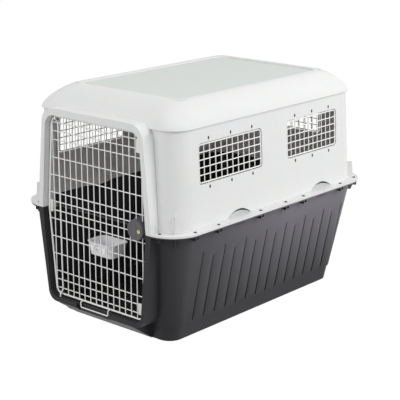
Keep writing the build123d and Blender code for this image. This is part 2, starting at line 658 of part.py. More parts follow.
def upright_guide(plate_span, web_span, tube_span):
    """A clip on the wires with a tube that an upright rod slides in."""
    face = block(LOCK_X - 8, LOCK_X + 8, clip_front_y, clip_back_y, *plate_span)
    web = block(LOCK_X - 7, LOCK_X + 7, clip_front_y, ROD_Y - 2, *web_span)
    tube = rod((LOCK_X, ROD_Y, tube_span[0]), (LOCK_X, ROD_Y, tube_span[1]), GUIDE_DIAMETER)
    bore = rod((LOCK_X, ROD_Y, 50), (LOCK_X, ROD_Y, 700), GUIDE_BORE)
    return face + web + tube - bore


save("upper_rod_guide", upright_guide((611, 652), (627, 646), (614, 656)))
save("lower_rod_guide", upright_guide((96, 133), (103, 121), (94, 132)))

side_face = block(*SIDE_GUIDE_X, clip_front_y, clip_back_y, LOCK_Z - 20, LOCK_Z + 20)
side_web = block(*SIDE_GUIDE_X, clip_front_y, ROD_Y - 2, LOCK_Z - 9, LOCK_Z + 9)
side_tube = rod((SIDE_GUIDE_X[0], ROD_Y, LOCK_Z), (SIDE_GUIDE_X[1], ROD_Y, LOCK_Z), GUIDE_DIAMETER)
side_bore = rod((-230, ROD_Y, LOCK_Z), (-190, ROD_Y, LOCK_Z), GUIDE_BORE)
save("side_rod_guide", side_face + side_web + side_tube - side_bore)


# Feeding cup hung over one cross wire

def cup_body(inset, z_low, z_high):
    """The tapering cup as a solid, set in by an amount."""
    middle = (CUP_MIDDLE_X, CUP_FRONT_Y + CUP_HALF[1])
    wide = (CUP_HALF[0] - CUP_LIP - inset, CUP_HALF[1] - CUP_LIP - inset)
    narrow = (wide[0] - 6, wide[1] - 4)
    lower = Plane((*middle, z_low)) * RectangleRounded(2 * narrow[0], 2 * narrow[1], 14 - inset)
    upper = Plane((*middle, z_high)) * RectangleRounded(2 * wide[0], 2 * wide[1], 16 - inset)
    return loft([lower.face(), upper.face()], ruled=True)


lip = Plane((CUP_MIDDLE_X, CUP_FRONT_Y + CUP_HALF[1], CUP_RIM_Z - CUP_WALL))
lip = extrude(lip * RectangleRounded(2 * CUP_HALF[0], 2 * CUP_HALF[1], 20), amount=CUP_WALL)
cup = cup_body(0, CUP_BOTTOM_Z, CUP_RIM_Z) + lip
hang_z = CROSS_MIDDLE_Z - CROSS_OFFSETS[2] + DOOR_WIRE / 2 + 0.3
for x in (-UPRIGHT_PITCH, UPRIGHT_PITCH):
    x_span = (x - HOOK_WIDTH / 2, x + HOOK_WIDTH / 2)
    cup = cup + block(*x_span, clip_back_y - 2.6, CUP_FRONT_Y + 8, hang_z, hang_z + 4)
    cup = cup + block(*x_span, clip_back_y - 2.6, clip_back_y, hang_z - 12, hang_z + 4)
save("feeding_cup", cup - cup_body(CUP_WALL, CUP_BOTTOM_Z + CUP_WALL, CUP_RIM_Z + 0.01))
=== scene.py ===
"""Looks of a large plastic dog carrier: a pale top shell, a dark tub, wire door and grilles.

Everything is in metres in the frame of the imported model. X is to the right as seen
from the door, Y runs from the door to the back, Z is up. Fields and profiles of the
pieces are in millimetres, as on a drawing.
"""
import logging
import math
from dataclasses import dataclass, field
from enum import Enum

import bpy
import numpy as np
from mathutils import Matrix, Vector

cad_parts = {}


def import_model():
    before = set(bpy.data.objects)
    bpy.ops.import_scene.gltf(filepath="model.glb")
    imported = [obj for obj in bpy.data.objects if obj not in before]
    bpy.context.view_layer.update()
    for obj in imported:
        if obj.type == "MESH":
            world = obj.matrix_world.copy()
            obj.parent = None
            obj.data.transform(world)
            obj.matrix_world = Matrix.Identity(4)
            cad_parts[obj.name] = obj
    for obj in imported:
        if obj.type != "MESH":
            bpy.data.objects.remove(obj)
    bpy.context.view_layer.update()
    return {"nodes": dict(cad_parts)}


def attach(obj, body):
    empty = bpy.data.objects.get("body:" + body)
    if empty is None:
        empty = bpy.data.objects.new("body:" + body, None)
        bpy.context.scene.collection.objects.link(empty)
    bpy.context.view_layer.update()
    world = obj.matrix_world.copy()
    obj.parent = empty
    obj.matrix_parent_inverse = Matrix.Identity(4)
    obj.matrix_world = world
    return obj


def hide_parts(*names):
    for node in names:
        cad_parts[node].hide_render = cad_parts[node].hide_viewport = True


LOG = logging.getLogger("carrier")
MM = 0.001
Socket = bpy.types.NodeSocket
Pair = tuple[float, float]
Point = tuple[float, float, float]

# Measures shared with the solids, in metres
UPRIGHT_PITCH = 26.1 * MM
DOOR_Y = -483.0 * MM
CROSS_Y = -479.8 * MM
PARTING_Z = 368.5 * MM
WINDOW_Z = 571.0 * MM
LOCK = (7 * UPRIGHT_PITCH, 374.5 * MM)

# The top shell's walls lean in by 15 mm over the 315.5 mm from the parting line to the eave
WALL_SLOPE = 15.0 / 315.5

# Height and half width of the tub's side wall, at its foot and at the parting line, in millimetres
WALL_LINE = ((50.0, 263.0), (368.5, 326.0))

# How far the door's cross wires stand above and below the lock, in millimetres
CROSS_STEPS = (14.5, 44.0, 103.0, 161.0, 219.5, 248.0, 276.5)

# An edge that turns by more than this is drawn sharp
SHARP_TURN = math.radians(38)

# Across, up and out of a shape on the door, which faces the front
DOOR_WAYS = np.array([[1.0, 0.0, 0.0], [0.0, 0.0, 1.0], [0.0, -1.0, 0.0]])


class Side(Enum):
    """A wall that carries a window: the directions along it and out of it."""

    RIGHT = ((0.0, 1.0, 0.0), (1.0, 0.0, WALL_SLOPE))
    LEFT = ((0.0, 1.0, 0.0), (-1.0, 0.0, WALL_SLOPE))
    BACK = ((-1.0, 0.0, 0.0), (0.0, 1.0, WALL_SLOPE))


class Sum(Enum):
    """What a node of arithmetic does with its numbers."""

    TIMES = "MULTIPLY"
    PLUS = "ADD"
    LARGER = "MAXIMUM"
    OVER = "GREATER_THAN"
    UNDER = "LESS_THAN"
    POWER = "POWER"
    SIZE = "ABSOLUTE"
    COSINE = "COSINE"
    ALONG = "DOT_PRODUCT"


def linear(sheet: str) -> tuple[float, float, float, float]:
    """Turn an sRGB hex colour into linear light.

    Args:
        sheet: six hex digits.

    Returns:
        Red, green, blue and alpha as the shader wants them.
    """
    parts = np.array([int(sheet[place:place + 2], 16) for place in (0, 2, 4)]) / 255.0
    light = np.where(parts <= 0.04045, parts / 12.92, ((parts + 0.055) / 1.055) ** 2.4)
    return (*light.tolist(), 1.0)


class Shader:
    """A node tree, grown one node at a time."""

    def __init__(self, owner: bpy.types.ID, output: str) -> None:
        """Empty the owner's tree and give it its output node.

        Args:
            owner: the material or world that holds the tree.
            output: the output node's type without its ShaderNode prefix.
        """
        owner.use_nodes = True
        self.owner = owner
        self.tree = owner.node_tree
        self.tree.nodes.clear()
        self.output = self.tree.nodes.new("ShaderNode" + output)

    @classmethod
    def of_material(cls, name: str) -> "Shader":
        """The tree of a new material."""
        return cls(bpy.data.materials.new(name), "OutputMaterial")

    def add(
        self, kind: str, settings: dict[str, object] | None = None, **inputs: object,
    ) -> bpy.types.Node:
        """Add a node, set its properties and fill or link its sockets.

        Args:
            kind: the node's type without its ShaderNode prefix.
            settings: properties of the node itself.
            **inputs: values or sockets, with underscores for spaces; i0, i1 are sockets by number.

        Returns:
            The new node.
        """
        node = self.tree.nodes.new("ShaderNode" + kind)
        for key, value in (settings or {}).items():
            setattr(node, key, value.value if isinstance(value, Enum) else value)
        for key, value in inputs.items():
            numbered = key[0] == "i" and key[1:].isdigit()
            socket = node.inputs[int(key[1:])] if numbered else node.inputs[key.replace("_", " ")]
            if isinstance(value, Socket):
                self.tree.links.new(value, socket)
            else:
                socket.default_value = value
        return node

    def finish(self, surface: Socket) -> bpy.types.ID:
        """Link the surface to the output and hand over the tree's owner."""
        self.tree.links.new(surface, self.output.inputs["Surface"])
        return self.owner


@dataclass(frozen=True)
class Moulded:
    """Injection-moulded plastic: a fine spark grain, soft corners and edges in their own colour,
    worn paler on dark plastic and greyed as painted shade lines on pale plastic.

    Blotches, patches, smears and scuffs are counted per metre. The grain of 1.2 mm is
    several times coarser than a real spark finish, so that it shows at all.
    """

    name: str
    colour: str
    shade: str
    roughness: float
    # Edge colour: worn paler on dark plastic, painted shade lines where it is greyer than pale
    # plastic
    worn_and_shaded_edge: str = "8C8B90"
    worn_and_shaded_share: float = 0.5
    edge: Pair = (0.995, 0.90)
    soften: float = 1.2 * MM
    grain: float = 0.25
    grain_size: float = 1.2 * MM
    grain_depth: float = 0.12 * MM
    blotches: float = 9.0
    patches: float = 45.0
    smears: float = 14.0
    scuffs: Point = (40.0, 40.0, 320.0)
    scuff_share: float = 0.35
    spread: Pair = (-0.07, 0.10)
    specular: float = 0.45
    glow: float = 0.0
    glow_reach: float = 6 * MM
    # A painted sheen: the outer side walls pale towards this colour with height, place along the
    # carrier and facing out
    painted_sheen_colour: str = ""
    painted_sheen_up: Pair = (0.05, 0.34)
    painted_sheen_along: Pair = (-0.52, 0.10)
    painted_sheen_beside: Pair = (0.10, 0.27)

    def paint_sheen(self, shader: Shader, place: Socket, colour: Socket) -> Socket:
        """Paint a sheen on the outer side walls, paler by their height times their place along the
        carrier.

        Args:
            shader: the tree that the nodes go into.
            place: the coordinates' socket.
            colour: the colour's socket.

        Returns:
            The socket of the colour with its painted sheen.
        """
        spot = shader.add("SeparateXYZ", Vector=place).outputs
        facing = shader.add("SeparateXYZ", Vector=shader.add("NewGeometry").outputs["True Normal"])
        times = {"operation": Sum.TIMES}
        beside = shader.add("Math", times, i0=spot[0], i1=facing.outputs[0]).outputs[0]
        spans = ((spot[2], self.painted_sheen_up), (spot[1], self.painted_sheen_along), (beside, self.painted_sheen_beside))
        shares = [
            shader.add("MapRange", Value=value, From_Min=low, From_Max=high).outputs["Result"]
            for value, (low, high) in spans
        ]
        both = shader.add("Math", times, i0=shares[0], i1=shares[1]).outputs[0]
        share = shader.add("Math", times, i0=both, i1=shares[2]).outputs[0]
        return shader.add(
            "Mix", {"data_type": "RGBA"}, i0=share, i6=colour, i7=linear(self.painted_sheen_colour),
        ).outputs[2]

    def start(self) -> tuple[Shader, Socket, Socket, Socket]:
        """Begin the tree: mottled colour with any painted sheen, and the edge colour, worn paler on
        dark plastic and painted shade on pale plastic, where the rounded normal leaves the face's
        own.

        Returns:
            The shader and the sockets of the coordinates, the colour and the softened normal.
        """
        shader = Shader.of_material(self.name)
        place = shader.add("TexCoord").outputs["Object"]
        blotch = shader.add(
            "TexNoise", Vector=place, Scale=self.blotches, Detail=4.0, Roughness=0.6,
        )
        base = shader.add(
            "Mix", {"data_type": "RGBA"}, i0=blotch.outputs["Fac"],
            i6=linear(self.colour), i7=linear(self.shade),
        ).outputs[2]
        # Painted sheen on the outer side walls
        if self.painted_sheen_colour:
            base = self.paint_sheen(shader, place, base)
        soft = shader.add("Bevel", {"samples": 5}, Radius=self.soften).outputs[0]
        face = shader.add("NewGeometry").outputs["Normal"]
        # Edge colour: worn paler on dark plastic, painted shade lines on pale plastic
        agree = shader.add("VectorMath", {"operation": Sum.ALONG}, i0=soft, i1=face)
        edge = shader.add(
            "MapRange", Value=agree.outputs["Value"], From_Min=self.edge[0], From_Max=self.edge[1],
            To_Min=0.0, To_Max=self.worn_and_shaded_share,
        )
        patchy = shader.add("TexNoise", Vector=place, Scale=self.patches, Detail=3.0)
        amount = shader.add(
            "Math", {"operation": Sum.TIMES}, i0=edge.outputs["Result"], i1=patchy.outputs["Fac"],
        )
        colour = shader.add(
            "Mix", {"data_type": "RGBA"}, i0=amount.outputs[0], i6=base, i7=linear(self.worn_and_shaded_edge),
        )
        return shader, place, colour.outputs[2], soft

    def relief(self, shader: Shader, place: Socket, soft: Socket) -> Socket:
        """Add the mould's grain to the softened normal.

        Args:
            shader: the tree that the nodes go into.
            place: the coordinates' socket.
            soft: the softened normal's socket.

        Returns:
            The normal's socket.
        """
        fine = shader.add("TexNoise", Vector=place, Scale=1.0 / self.grain_size, Detail=3.0)
        return shader.add(
            "Bump", Height=fine.outputs["Fac"], Strength=self.grain, Distance=self.grain_depth,
            Normal=soft,
        ).outputs["Normal"]

    def sheen(self, shader: Shader, place: Socket) -> Socket:
        """Roughness that wanders a little and has fine drawn-out scuffs, as handled plastic does.

        Args:
            shader: the tree that the nodes go into.
            place: the coordinates' socket.

        Returns:
            The roughness socket.
        """
        smear = shader.add("TexNoise", Vector=place, Scale=self.smears, Detail=5.0, Roughness=0.65)
        drawn = shader.add("Mapping", Vector=place, Scale=self.scuffs)
        scuff = shader.add(
            "TexNoise", Vector=drawn.outputs[0], Scale=1.0, Detail=2.0, Distortion=1.5,
        )
        faint = shader.add(
            "Math", {"operation": Sum.TIMES}, i0=scuff.outputs["Fac"], i1=self.scuff_share,
        )
        both = shader.add(
            "Math", {"operation": Sum.PLUS}, i0=smear.outputs["Fac"], i1=faint.outputs[0],
        )
        span = shader.add(
            "MapRange", Value=both.outputs[0], From_Max=1.0 + self.scuff_share,
            To_Min=self.roughness + self.spread[0], To_Max=self.roughness + self.spread[1],
        )
        return span.outputs["Result"]

    def surface(
        self, shader: Shader, place: Socket, colour: Socket, normal: Socket,
    ) -> bpy.types.Material:
        """Close the tree with the plastic itself.

        Args:
            shader: the tree.
            place: the coordinates' socket.
            colour: the colour's socket.
            normal: the normal's socket.

        Returns:
            The finished material.
        """
        body = shader.add(
            "BsdfPrincipled", Base_Color=colour, Normal=normal, Roughness=self.sheen(shader, place),
            Specular_IOR_Level=self.specular, Subsurface_Weight=self.glow,
            Subsurface_Scale=self.glow_reach,
        )
        return shader.finish(body.outputs[0])

    def material(self) -> bpy.types.Material:
        """The plain form of the finish."""
        shader, place, colour, soft = self.start()
        return self.surface(shader, place, colour, self.relief(shader, place, soft))


@dataclass(frozen=True)
class RibbedShell(Moulded):
    """The top shell's plastic: faint upright ribs on its long walls and a tinted roof panel."""

    panel: str = ""
    panel_up: float = 0.98
    panel_span: Pair = (0.7505, 0.7515)
    rib_share: float = 0.5
    rib_depth: float = 0.25 * MM
    rib_pitch: float = 26.15 * MM
    rib_power: float = 24.0
    rib_span: Pair = (0.40, 0.66)
    rib_wall: float = 0.9

    def inside(self, shader: Shader, value: Socket, span: Pair) -> Socket:
        """One where a value lies between two ends, else nought.

        Args:
            shader: the tree that the nodes go into.
            value: the value's socket.
            span: the two ends.

        Returns:
            The socket of the one or nought.
        """
        over = shader.add("Math", {"operation": Sum.OVER}, i0=value, i1=span[0]).outputs[0]
        under = shader.add("Math", {"operation": Sum.UNDER}, i0=value, i1=span[1]).outputs[0]
        return shader.add("Math", {"operation": Sum.TIMES}, i0=over, i1=under).outputs[0]

    def ribs(self, shader: Shader, spot: bpy.types.Node, facing: bpy.types.Node) -> Socket:
        """Height of the ribs: a high power of a cosine along the wall, so each is a narrow ridge.

        Args:
            shader: the tree that the nodes go into.
            spot: the node that parts the coordinates.
            facing: the node that parts the face's normal.

        Returns:
            The socket of a height from 0 to 1.
        """
        across = shader.add("Math", {"operation": Sum.SIZE}, i0=facing.outputs[0]).outputs[0]
        wall = shader.add("Math", {"operation": Sum.OVER}, i0=across, i1=self.rib_wall).outputs[0]
        turn = shader.add(
            "Math", {"operation": Sum.TIMES}, i0=spot.outputs[1], i1=math.pi / self.rib_pitch,
        )
        wave = shader.add("Math", {"operation": Sum.COSINE}, i0=turn.outputs[0])
        size = shader.add("Math", {"operation": Sum.SIZE}, i0=wave.outputs[0])
        ridge = shader.add(
            "Math", {"operation": Sum.POWER}, i0=size.outputs[0], i1=self.rib_power,
        )
        tall = self.inside(shader, spot.outputs[2], self.rib_span)
        band = shader.add("Math", {"operation": Sum.TIMES}, i0=wall, i1=tall)
        height = shader.add(
            "Math", {"operation": Sum.TIMES}, i0=ridge.outputs[0], i1=band.outputs[0],
        )
        return height.outputs[0]

    def material(self) -> bpy.types.Material:
        """The shell's finish with its ribs and its roof panel.

        Returns:
            The finished material.
        """
        shader, place, colour, soft = self.start()
        spot = shader.add("SeparateXYZ", Vector=place)
        facing = shader.add("SeparateXYZ", Vector=shader.add("NewGeometry").outputs["True Normal"])
        ribs = self.ribs(shader, spot, facing)
        up = shader.add("Math", {"operation": Sum.OVER}, i0=facing.outputs[2], i1=self.panel_up)
        roof = self.inside(shader, spot.outputs[2], self.panel_span)
        mask = shader.add("Math", {"operation": Sum.TIMES}, i0=up.outputs[0], i1=roof)
        tinted = shader.add(
            "Mix", {"data_type": "RGBA"}, i0=mask.outputs[0], i6=colour, i7=linear(self.panel),
        )
        grain = self.relief(shader, place, soft)
        raised = shader.add(
            "Bump", Height=ribs, Strength=self.rib_share, Distance=self.rib_depth, Normal=grain,
        )
        return self.surface(shader, place, tinted.outputs[2], raised.outputs["Normal"])


@dataclass(frozen=True)
class Metal:
    """A bare or coated metal with fine drawn marks, coarser than real ones so that they show."""

    name: str
    colour: str
    metallic: float
    roughness: float
    marks: float = 0.2
    mark_size: float = 0.8 * MM
    mark_depth: float = 0.05 * MM
    spread: Pair = (-0.06, 0.08)

    def material(self) -> bpy.types.Material:
        """The metal's node tree.

        Returns:
            The finished material.
        """
        shader = Shader.of_material(self.name)
        place = shader.add("TexCoord").outputs["Object"]
        marks = shader.add("TexNoise", Vector=place, Scale=1.0 / self.mark_size, Detail=4.0)
        bump = shader.add(
            "Bump", Height=marks.outputs["Fac"], Strength=self.marks, Distance=self.mark_depth,
        )
        span = shader.add(
            "MapRange", Value=marks.outputs["Fac"],
            To_Min=self.roughness + self.spread[0], To_Max=self.roughness + self.spread[1],
        )
        body = shader.add(
            "BsdfPrincipled", Base_Color=linear(self.colour), Metallic=self.metallic,
            Roughness=span.outputs["Result"], Normal=bump.outputs["Normal"],
        )
        return shader.finish(body.outputs[0])


@dataclass(frozen=True)
class Milky:
    """A milky thin plastic that lets a little light through; its haze is counted per metre."""

    name: str
    colour: str
    roughness: float
    transmission: float
    bending: float = 1.35
    haze: float = 60.0
    haze_share: float = 0.1
    haze_depth: float = 0.2 * MM
    spread: Pair = (-0.04, 0.06)

    def material(self) -> bpy.types.Material:
        """The milky plastic's node tree.

        Returns:
            The finished material.
        """
        shader = Shader.of_material(self.name)
        place = shader.add("TexCoord").outputs["Object"]
        haze = shader.add("TexNoise", Vector=place, Scale=self.haze, Detail=3.0)
        span = shader.add(
            "MapRange", Value=haze.outputs["Fac"],
            To_Min=self.roughness + self.spread[0], To_Max=self.roughness + self.spread[1],
        )
        bump = shader.add(
            "Bump", Height=haze.outputs["Fac"], Strength=self.haze_share, Distance=self.haze_depth,
        )
        body = shader.add(
            "BsdfPrincipled", Base_Color=linear(self.colour), Roughness=span.outputs["Result"],
            IOR=self.bending, Transmission_Weight=self.transmission,
            Normal=bump.outputs["Normal"],
        )
        return shader.finish(body.outputs[0])


Finish = Moulded | Metal | Milky

# Polypropylene from a fine-sparked mould: a soft satin white, a cooler sheet set in the roof,
# and greyer edges that are painted shade lines
PALE_POLYPROPYLENE = RibbedShell(
    "pale_moulded_polypropylene", "E9E9E9", "E5E6E5", 0.58, worn_and_shaded_edge="BFC1BF", worn_and_shaded_share=0.9,
    soften=1.6 * MM, glow=0.12, specular=0.25, panel="D8DDDA",
)
# Polypropylene from a coarser mould: nearly black, with a painted sheen that pales it up and back
# along its outer sides
DARK_POLYPROPYLENE = Moulded(
    "dark_moulded_polypropylene", "343336", "2F2E31", 0.44, worn_and_shaded_edge="77767C", worn_and_shaded_share=0.35,
    soften=2 * MM, grain=0.45, specular=0.16, painted_sheen_colour="7B7980",
)
# Moulded ABS: a plain grey with a tighter sheen than the shells
KNOB_ABS = Moulded("grey_moulded_abs", "5C5A61", "545259", 0.40, soften=0.6 * MM)
# Moulded nylon: small dark buttons that read as dots; the same dark paints the shadows in the hand
# grips
DARK_NYLON_AND_PAINTED_SHADOW = Moulded(
    "dark_nylon_and_painted_shadow", "2B2A2D", "232225", 0.45, worn_and_shaded_edge="4A494C", soften=0.4 * MM,
)
# The shell's plastic where it is folded to a bead, greyed with painted shade so it draws a fine
# line
BEAD_PAINTED_SHADE = Moulded(
    "bead_painted_shade_polypropylene", "C6C9C7", "C1C4C2", 0.50, worn_and_shaded_edge="D8DAD8", soften=0.6 * MM,
)
# Moulded nylon left white: the clips that guide the rods
CLIP_NYLON = Moulded(
    "white_moulded_nylon", "EDEDEA", "E6E6E2", 0.40, worn_and_shaded_edge="D0D0CC", soften=0.6 * MM,
)
# Steel wire dipped in white plastic: an even satin coat that hides the metal
COATED_WIRE = Metal("white_dip_coated_wire", "FAFAF8", 0.0, 0.34)
# Blackened drawn steel: dark, with a dull gleam along the rods
BLACKENED_STEEL = Metal("blackened_drawn_steel", "3A393D", 0.4, 0.42)
# Plated steel gone dull: grey heads with a soft highlight
PLATED_STEEL = Metal("dull_plated_steel", "5F6064", 0.6, 0.42)
# Turned brass: the one warm spot, bright and smooth
TURNED_BRASS = Metal("turned_brass", "D8C878", 0.95, 0.28)
# Natural polypropylene, moulded thin: a milky white through which a little light passes
MILKY_POLYPROPYLENE = Milky("milky_thin_polypropylene", "FDFDFF", 0.30, 0.08)


@dataclass
class Photographer:
    """The camera that stands where the photograph was taken; angles are in degrees."""

    azimuth: float = 41.34
    elevation: float = 15.92
    distance: float = 4.204
    target: Point = (0.00166, 0.0, 0.3276)
    lens: float = 110.8
    sensor: float = 36.0

    def build(self) -> None:
        """Place the camera and make it the scene's camera."""
        data = bpy.data.cameras.new("camera")
        data.lens = self.lens
        data.sensor_width = self.sensor
        camera = bpy.data.objects.new("camera", data)
        bpy.context.collection.objects.link(camera)
        turn, lift = math.radians(self.azimuth), math.radians(self.elevation)
        flat = math.cos(lift)
        away = Vector((math.sin(turn) * flat, -math.cos(turn) * flat, math.sin(lift)))
        camera.location = Vector(self.target) + away * self.distance
        camera.rotation_euler = (-away).to_track_quat("-Z", "Y").to_euler()
        bpy.context.scene.camera = camera


@dataclass(frozen=True)
class Softbox:
    """One square studio light, aimed at the carrier's middle; its power is in watts."""

    name: str
    place: Point
    size: float
    power: float
    target: Point = (0.0, 0.0, 0.35)

    def build(self) -> None:
        """Make the light and turn it to its target."""
        data = bpy.data.lights.new(self.name, "AREA")
        data.size = self.size
        data.energy = self.power
        lamp = bpy.data.objects.new(self.name, data)
        bpy.context.collection.objects.link(lamp)
        lamp.location = self.place
        aim = Vector(self.target) - Vector(self.place)
        lamp.rotation_euler = aim.to_track_quat("-Z", "Y").to_euler()


@dataclass
class Studio:
    """A white floor and surround with soft light all round."""

    boxes: tuple[Softbox, ...] = (
        Softbox("key_light", (3.4, 1.2, 2.4), 2.4, 86.0),
        Softbox("front_light", (-0.6, -3.8, 2.4), 2.4, 50.0),
        Softbox("top_light", (-0.4, 0.4, 3.6), 3.0, 6.0),
    )
    ambient: float = 0.56
    half: float = 12.0
    drop: float = -0.5 * MM
    paper: float = 0.5
    white: float = 1.06
    white_share: float = 0.93

    def seen(self, shader: Shader) -> Socket:
        """One where a camera, glossy or transmitted ray looks, so that gloss shows the white too.

        Args:
            shader: the tree that the nodes go into.

        Returns:
            The socket of the one or nought.
        """
        path = shader.add("LightPath").outputs
        larger = {"operation": Sum.LARGER}
        mirrored = shader.add(
            "Math", larger, i0=path["Is Glossy Ray"], i1=path["Is Transmission Ray"],
        )
        looked = shader.add("Math", larger, i0=path["Is Camera Ray"], i1=mirrored.outputs[0])
        return looked.outputs[0]

    def floor(self) -> None:
        """Lay a white floor that keeps a trace of the carrier's shadow."""
        flat = ((-1, -1), (1, -1), (1, 1), (-1, 1))
        corners = [(x * self.half, y * self.half, self.drop) for x, y in flat]
        mesh = bpy.data.meshes.new("floor")
        mesh.from_pydata(corners, [], [(0, 1, 2, 3)])
        floor = bpy.data.objects.new("floor", mesh)
        bpy.context.collection.objects.link(floor)
        shader = Shader.of_material("floor_white")
        paper = shader.add("BsdfDiffuse", Color=(self.paper, self.paper, self.paper, 1.0))
        white = shader.add("Emission", Strength=self.white)
        share = shader.add(
            "Math", {"operation": Sum.TIMES}, i0=self.seen(shader), i1=self.white_share,
        )
        mixed = shader.add(
            "MixShader", i0=share.outputs[0], i1=paper.outputs[0], i2=white.outputs[0],
        )
        mesh.materials.append(shader.finish(mixed.outputs[0]))

    def sky(self) -> None:
        """Set a soft even surround that the camera sees as white."""
        shader = Shader(bpy.data.worlds.new("surround"), "OutputWorld")
        soft = shader.add("Background", Strength=self.ambient, Color=(1.0, 1.0, 1.0, 1.0))
        white = shader.add("Background", Strength=1.0, Color=(1.0, 1.0, 1.0, 1.0))
        mixed = shader.add(
            "MixShader", i0=self.seen(shader), i1=soft.outputs[0], i2=white.outputs[0],
        )
        bpy.context.scene.world = shader.finish(mixed.outputs[0])

    def build(self) -> None:
        """Set the floor, the surround and the lights."""
        self.floor()
        self.sky()
        for box in self.boxes:
            box.build()


def closed_skins(name: str, rings: np.ndarray, capped: bool = True) -> bpy.types.Object:
    """Join rings of points into closed skins, each ended by a cap at both ends.

    A face spans two neighbours of one ring and the same two of the next ring. All faces
    are turned over where the first copy's signed volume about its own middle is negative.

    Args:
        name: the piece's name.
        rings: points in metres, shaped copies, rings, points of a ring, 3.
        capped: whether the ends get caps; without them the last ring is the first one again.

    Returns:
        The piece, at the origin, with its faces outward.
    """
    copies, _, count = rings.shape[:3]
    if not capped:
        rings = rings[:, :-1]
    index = np.arange(copies * rings.shape[1] * count).reshape(copies, -1, count)
    near, far = (index[:, :-1], index[:, 1:]) if capped else (index, np.roll(index, -1, 1))
    sides = np.stack([near, np.roll(near, -1, 2), np.roll(far, -1, 2), far], -1)
    faces = sides.reshape(-1, 4).tolist()
    if capped:
        faces += index[:, 0, ::-1].tolist() + index[:, -1].tolist()
    mesh = bpy.data.meshes.new(name)
    points = rings.reshape(-1, 3)
    mesh.from_pydata(points.tolist(), [], faces)
    quads = points[sides[0].reshape(-1, 4)] - rings[0].reshape(-1, 3).mean(0)
    spans = np.cross(quads[:, 1], quads[:, 2]) + np.cross(quads[:, 2], quads[:, 3])
    if np.einsum("ij,ij->", quads[:, 0], spans) < 0:
        mesh.flip_normals()
    mesh.polygons.foreach_set("use_smooth", np.ones(len(faces), dtype=bool))
    mesh.set_sharp_from_angle(angle=SHARP_TURN)
    piece = bpy.data.objects.new(name, mesh)
    bpy.context.collection.objects.link(piece)
    return piece


def round_turn(count: int) -> np.ndarray:
    """Even angles of one full turn, the last one short of the first."""
    return np.linspace(0.0, 2 * math.pi, count, endpoint=False)


def squared(wave: np.ndarray, power: float) -> np.ndarray:
    """A sine or cosine to a power below one, sign kept, which squares off an oval."""
    return np.sign(wave) * np.abs(wave) ** power


def turned(profile: list[Pair], count: int) -> np.ndarray:
    """Rings of a turned shape: each profile point's radius goes round the third axis.

    Args:
        profile: radius and height in millimetres, from one end to the other.
        count: points of a ring.

    Returns:
        Points in metres, shaped rings, count, 3.
    """
    turn = round_turn(count)
    radius, height = np.array(profile).T[:, :, None] * MM
    return np.stack([radius * np.cos(turn), radius * np.sin(turn), height + 0 * turn], -1)


def carried(points: np.ndarray, ways: np.ndarray, origin: Point = (0.0, 0.0, 0.0)) -> np.ndarray:
    """Carry points from a shape's own frame to the carrier's: their sums along three ways.

    Args:
        points: points whose last axis is across, up and out.
        ways: the directions across, up and out, one to a row.
        origin: where the shape's own origin goes.

    Returns:
        The same array of points in the carrier's frame.
    """
    return points @ np.array(ways, dtype=float) + np.array(origin, dtype=float)


def rounded_rings(
    halves: np.ndarray, radii: np.ndarray, heights: np.ndarray, count: int,
) -> np.ndarray:
    """Rings of a rounded rectangle: a quarter circle about each corner's own middle.

    Args:
        halves: half width and half depth of each ring.
        radii: corner radius of each ring.
        heights: height of each ring.
        count: points of a ring, a multiple of four.

    Returns:
        Points shaped rings, count, 3, in the unit of the arguments.
    """
    turn = (np.arange(count) + 0.5) * 2 * math.pi / count
    way = np.stack([np.cos(turn), np.sin(turn)], -1)
    middle = np.sign(way) * (halves[:, None, :] - radii[:, None, None])
    flat = middle + way * radii[:, None, None]
    tall = np.broadcast_to(heights[:, None, None], (*flat.shape[:2], 1))
    return np.concatenate([flat, tall], -1)


def mirrored(rings: np.ndarray) -> np.ndarray:
    """The same skins and their images in the carrier's middle plane, still facing outward."""
    image = rings[:, :, ::-1] * np.array([-1.0, 1.0, 1.0])
    return np.concatenate([rings, image])


@dataclass
class Fitter:
    """Gives each new piece its finish and its body, and hides the solids that it stands for."""

    made: dict[Finish, bpy.types.Material] = field(default_factory=dict)

    def finish(self, finish: Finish) -> bpy.types.Material:
        """The material of a finish, made once.

        Args:
            finish: the finish.

        Returns:
            Its material.
        """
        if finish not in self.made:
            self.made[finish] = finish.material()
        return self.made[finish]

    def fit(
        self, piece: bpy.types.Object, finish: Finish, body: str, slot: str, *nodes: str,
    ) -> None:
        """Dress a piece and fix it to its body.

        Args:
            piece: the piece.
            finish: its finish.
            body: the body that carries it.
            slot: the record's material slot; not used.
            *nodes: solids that the piece stands for.
        """
        piece.data.materials.append(self.finish(finish))
        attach(piece, body)
        if nodes:
            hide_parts(*nodes)
        LOG.info("%s: %d faces on %s", piece.name, len(piece.data.polygons), body)


